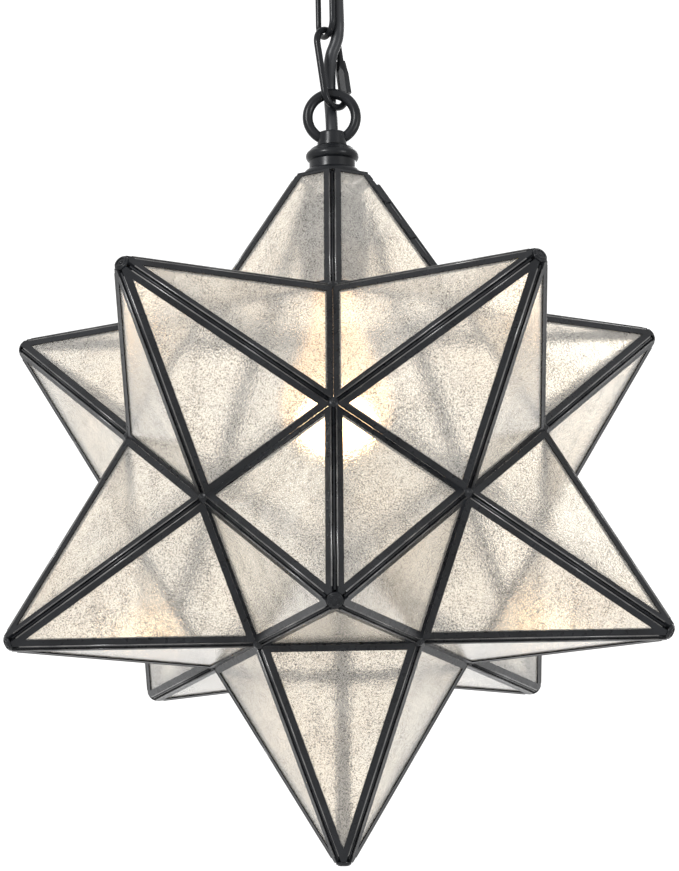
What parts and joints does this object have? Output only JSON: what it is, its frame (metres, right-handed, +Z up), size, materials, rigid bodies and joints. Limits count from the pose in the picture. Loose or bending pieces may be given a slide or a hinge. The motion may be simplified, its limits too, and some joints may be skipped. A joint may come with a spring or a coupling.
{
  "type": "moravian star pendant",
  "caption": "Moravian star pendant lamp in black metal and clear seeded glass, hung from a ceiling canopy by quick links, chain links and a cord.",
  "frame": {"origin": "centre of the crossbar's row of fixing holes, on the ceiling plane", "axes": "+Z up into the ceiling, X along the crossbar, -Y towards the star's front lower point"},
  "size_m": [0.3932, 0.4126, 0.6629],
  "materials": {
    "black_metal": "matte",
    "seeded_glass": "clear, with seeds and specks",
    "bulb_glass": "frosted",
    "bulb_cap": "satin",
    "brass": "satin",
    "cord": "matte",
    "insulator": "matte",
    "zinc_steel": "zinc plated",
    "earth_screw": "gloss"
  },
  "bodies": {
    "ceiling_fitting": {"crossbar": "zinc_steel", "earth_screw": "earth_screw", "crossbar_nut": "zinc_steel", "ceiling_tube": "zinc_steel", "canopy_loop": "black_metal", "power_cord": "cord"},
    "ceiling_canopy": {"canopy": "black_metal", "canopy_ring_nut": "black_metal"},
    "upper_quick_link": {"upper_quick_link": "black_metal"},
    "upper_sleeve": {"upper_link_sleeve": "black_metal"},
    "second_chain_link": {"chain_link_2": "black_metal"},
    "first_chain_link": {"chain_link_1": "black_metal"},
    "lower_quick_link": {"lower_quick_link": "black_metal"},
    "lower_sleeve": {"lower_link_sleeve": "black_metal"},
    "star": {"channel_bottom": "black_metal", "glass_bottom": "seeded_glass", "tip_caps": "black_metal", "channel_top": "black_metal", "glass_top": "seeded_glass", "hinge_leaves": "black_metal", "hinge_pin": "black_metal", "door_stops": "black_metal", "spike_cap": "black_metal", "neck_ring": "black_metal", "hanging_loop": "black_metal", "threaded_tube": "zinc_steel", "lock_nuts": "zinc_steel", "holder_cup": "black_metal", "holder_body": "insulator", "screw_shell": "brass", "centre_contact": "brass", "channel_upper_1": "black_metal", "glass_upper_1": "seeded_glass", "channel_lower_1": "black_metal", "glass_lower_1": "seeded_glass", "channel_upper_2": "black_metal", "glass_upper_2": "seeded_glass", "channel_lower_2": "black_metal", "glass_lower_2": "seeded_glass", "channel_upper_3": "black_metal", "glass_upper_3": "seeded_glass", "channel_lower_3": "black_metal", "glass_lower_3": "seeded_glass", "channel_upper_4": "black_metal", "glass_upper_4": "seeded_glass", "channel_lower_4": "black_metal", "glass_lower_4": "seeded_glass", "channel_upper_5": "black_metal", "glass_upper_5": "seeded_glass", "channel_lower_5": "black_metal", "glass_lower_5": "seeded_glass"},
    "light_bulb": {"bulb_base": "bulb_cap", "bulb_glass": "bulb_glass"},
    "access_door": {"door_channel": "black_metal", "door_glass": "seeded_glass", "door_hinge_leaves": "black_metal", "door_tab": "black_metal"}
  },
  "joints": [
    {"name": "canopy_drop", "type": "slide", "parent": "ceiling_fitting", "child": "ceiling_canopy", "axis": [0, 0, -1], "range_m": [0, 0.02]},
    {"name": "upper_link_swing", "type": "hinge", "parent": "ceiling_fitting", "child": "upper_quick_link", "pos_m": [0, 0, -0.04925], "axis": [0.6691, 0.7431, 0], "range_deg": [-15, 15], "deforming": ["power_cord"]},
    {"name": "upper_sleeve_travel", "type": "slide", "parent": "upper_quick_link", "child": "upper_sleeve", "axis": [0, 0, 1], "range_m": [0, 0.0084]},
    {"name": "second_link_swing", "type": "hinge", "parent": "upper_quick_link", "child": "second_chain_link", "pos_m": [0, 0, -0.094], "axis": [0.4695, -0.8829, 0], "range_deg": [-15, 15]},
    {"name": "first_link_swing", "type": "hinge", "parent": "second_chain_link", "child": "first_chain_link", "pos_m": [0, 0, -0.1242], "axis": [0.6691, 0.7431, 0], "range_deg": [-15, 15]},
    {"name": "lower_link_swing", "type": "hinge", "parent": "first_chain_link", "child": "lower_quick_link", "pos_m": [0, 0, -0.1547], "axis": [0.4695, -0.8829, 0], "range_deg": [-15, 15]},
    {"name": "lower_sleeve_travel", "type": "slide", "parent": "lower_quick_link", "child": "lower_sleeve", "axis": [-0.1271, 0, 0.9919], "range_m": [0, 0.0084]},
    {"name": "star_swing", "type": "hinge", "parent": "lower_quick_link", "child": "star", "pos_m": [0.00628, 0, -0.19945], "axis": [0.6637, 0.7431, 0.085], "range_deg": [-8, 12]},
    {"name": "bulb_withdrawal", "type": "slide", "parent": "star", "child": "light_bulb", "axis": [0, 0, -1], "range_m": [0, 0.026]},
    {"name": "door_hinge", "type": "hinge", "parent": "star", "child": "access_door", "pos_m": [0.08026, -0.02511, -0.32952], "axis": [0.5307, -0.1724, -0.8298], "range_deg": [0, 100]}
  ]
}
